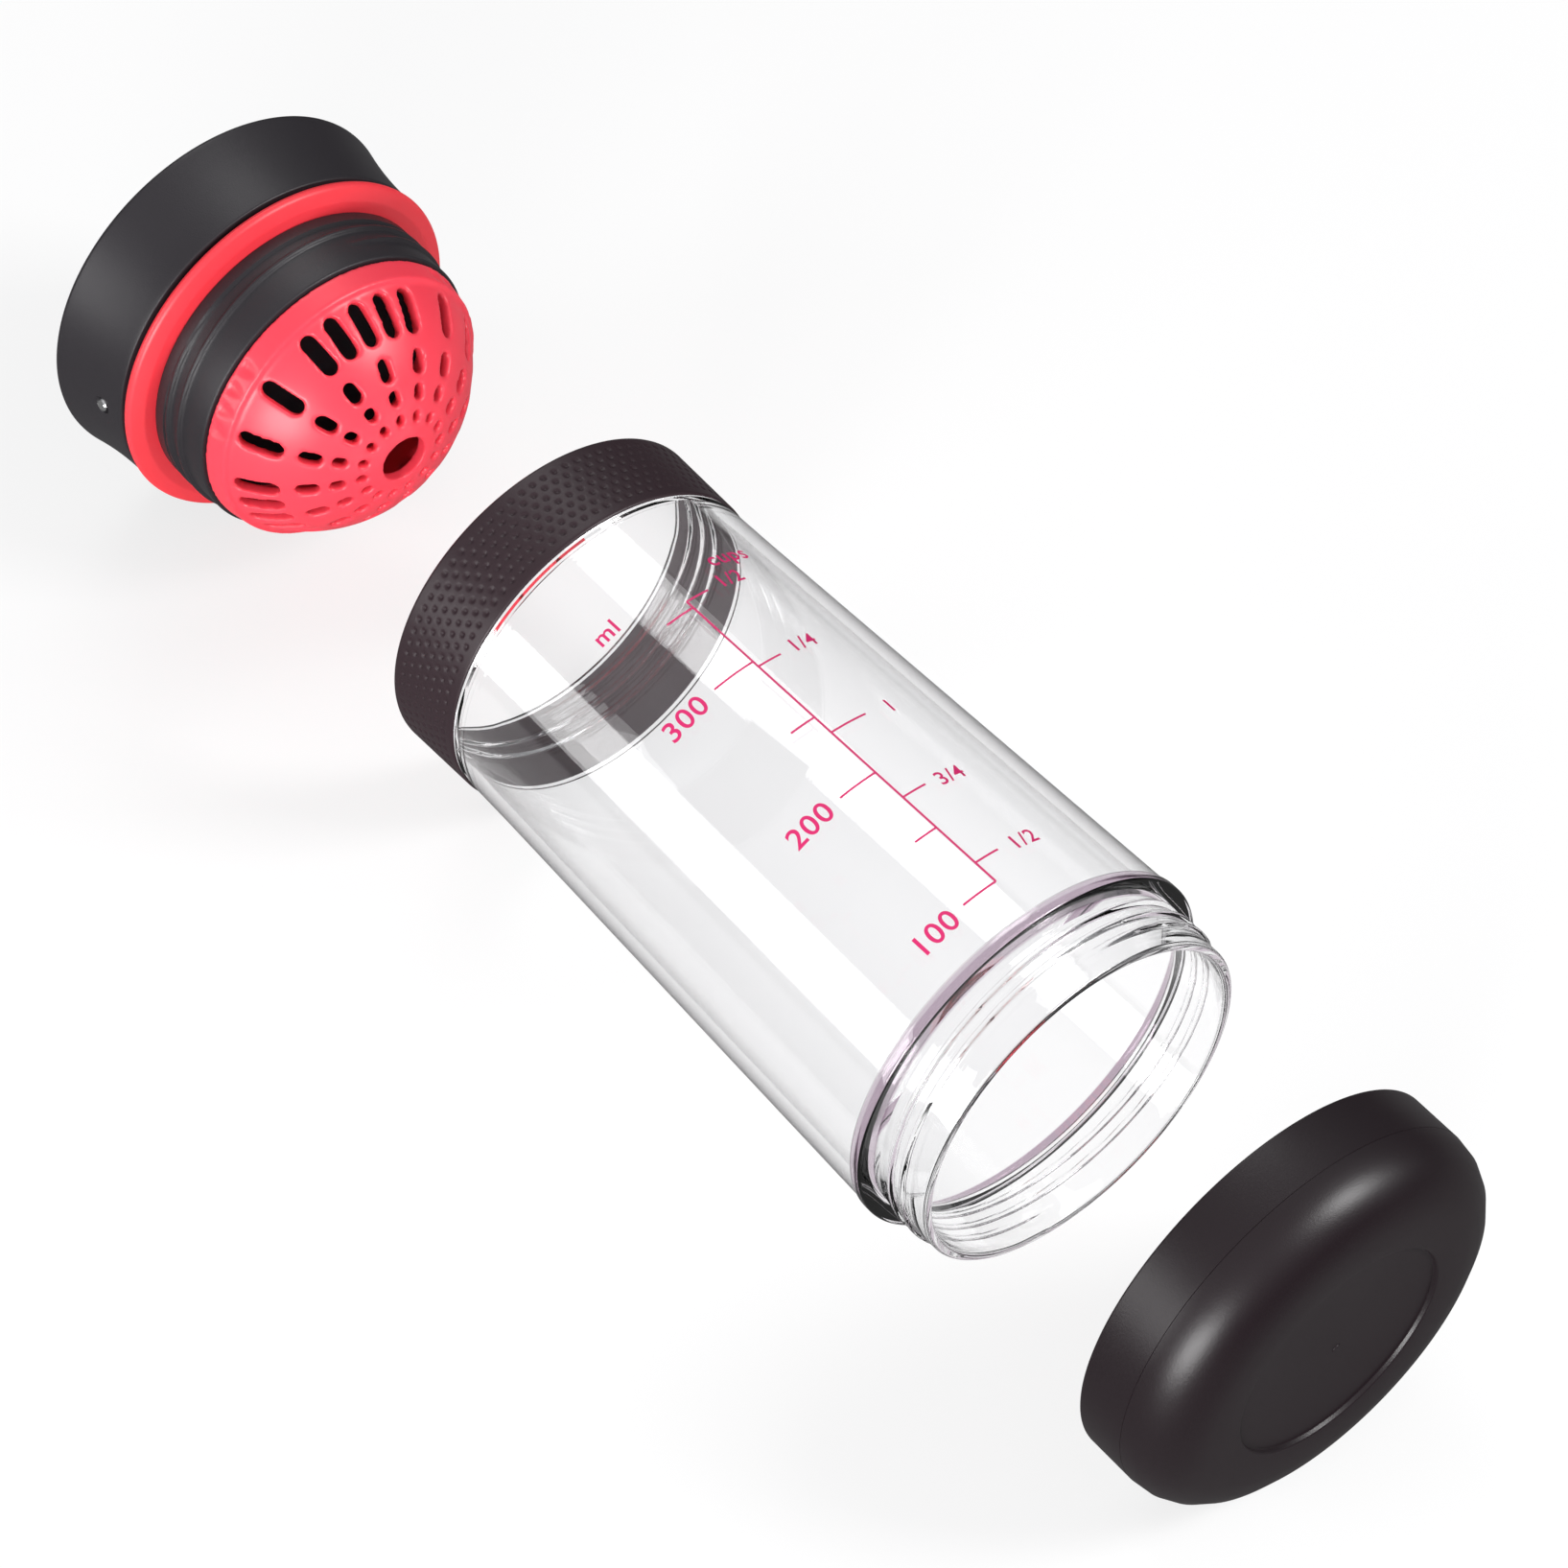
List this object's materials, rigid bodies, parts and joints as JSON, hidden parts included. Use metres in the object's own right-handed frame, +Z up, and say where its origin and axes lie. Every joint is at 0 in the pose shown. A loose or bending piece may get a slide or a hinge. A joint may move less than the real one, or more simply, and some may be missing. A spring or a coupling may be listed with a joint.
{
  "type": "salad dressing shaker bottle",
  "caption": "Clear tapered shaker bottle, open at both ends, with a screw base cup and a screw lid that holds a pour lever, a seal ring and a domed strainer, all drawn apart on one axis.",
  "frame": {"origin": "centre of the footprint, on the surface that the parts lie on", "axes": "+X along the shared axis from the lid to the base cup, +Z up from the surface"},
  "size_m": [0.3009, 0.0746, 0.0746],
  "materials": {
    "clear_plastic": "clear polished copolyester",
    "sleeve_plastic": "satin with rows of small dimples",
    "lid_plastic": "satin, finely textured",
    "base_plastic": "satin",
    "seal_silicone": "soft satin silicone",
    "strainer_plastic": "semi-matte moulded",
    "pin_steel": "polished end"
  },
  "bodies": {
    "bottle": {"bottle_body": "clear_plastic", "grip_sleeve": "sleeve_plastic"},
    "lid_carrier": {"seal_ring": "seal_silicone"},
    "lid": {"lid_shell": "lid_plastic", "threaded_collar": "lid_plastic", "pour_deck": "lid_plastic", "hinge_pin": "pin_steel"},
    "lever": {"pour_lever": "lid_plastic", "spout_plug": "seal_silicone"},
    "strainer_insert": {"strainer": "strainer_plastic"},
    "base_carrier": {"base_seal": "seal_silicone"},
    "base": {"base_cup": "base_plastic"}
  },
  "joints": [
    {"name": "lid_pull", "type": "slide", "parent": "bottle", "child": "lid_carrier", "axis": [1, 0, 0], "range_m": [0, 0.0755]},
    {"name": "lid_turn", "type": "hinge", "parent": "lid_carrier", "child": "lid", "pos_m": [-0.13245, 0, 0.0373], "axis": [1, 0, 0], "range_deg": [0, 3997]},
    {"name": "lever_press", "type": "hinge", "parent": "lid", "child": "lever", "pos_m": [-0.13815, -0.00182, 0.03023], "axis": [0, -0.9686, 0.2487], "range_deg": [0, 18]},
    {"name": "strainer_pull", "type": "slide", "parent": "lid", "child": "strainer_insert", "axis": [1, 0, 0], "range_m": [0, 0.03]},
    {"name": "base_pull", "type": "slide", "parent": "bottle", "child": "base_carrier", "axis": [-1, 0, 0], "range_m": [0, 0.0544]},
    {"name": "base_turn", "type": "hinge", "parent": "base_carrier", "child": "base", "pos_m": [0.13085, 0, 0.0373], "axis": [-1, 0, 0], "range_deg": [0, 3497]}
  ],
  "couplings": [
    {"joint": "lid_pull", "follows": "lid_turn", "m_per_rad": 0.0010823},
    {"joint": "base_pull", "follows": "base_turn", "m_per_rad": 0.00089127}
  ]
}
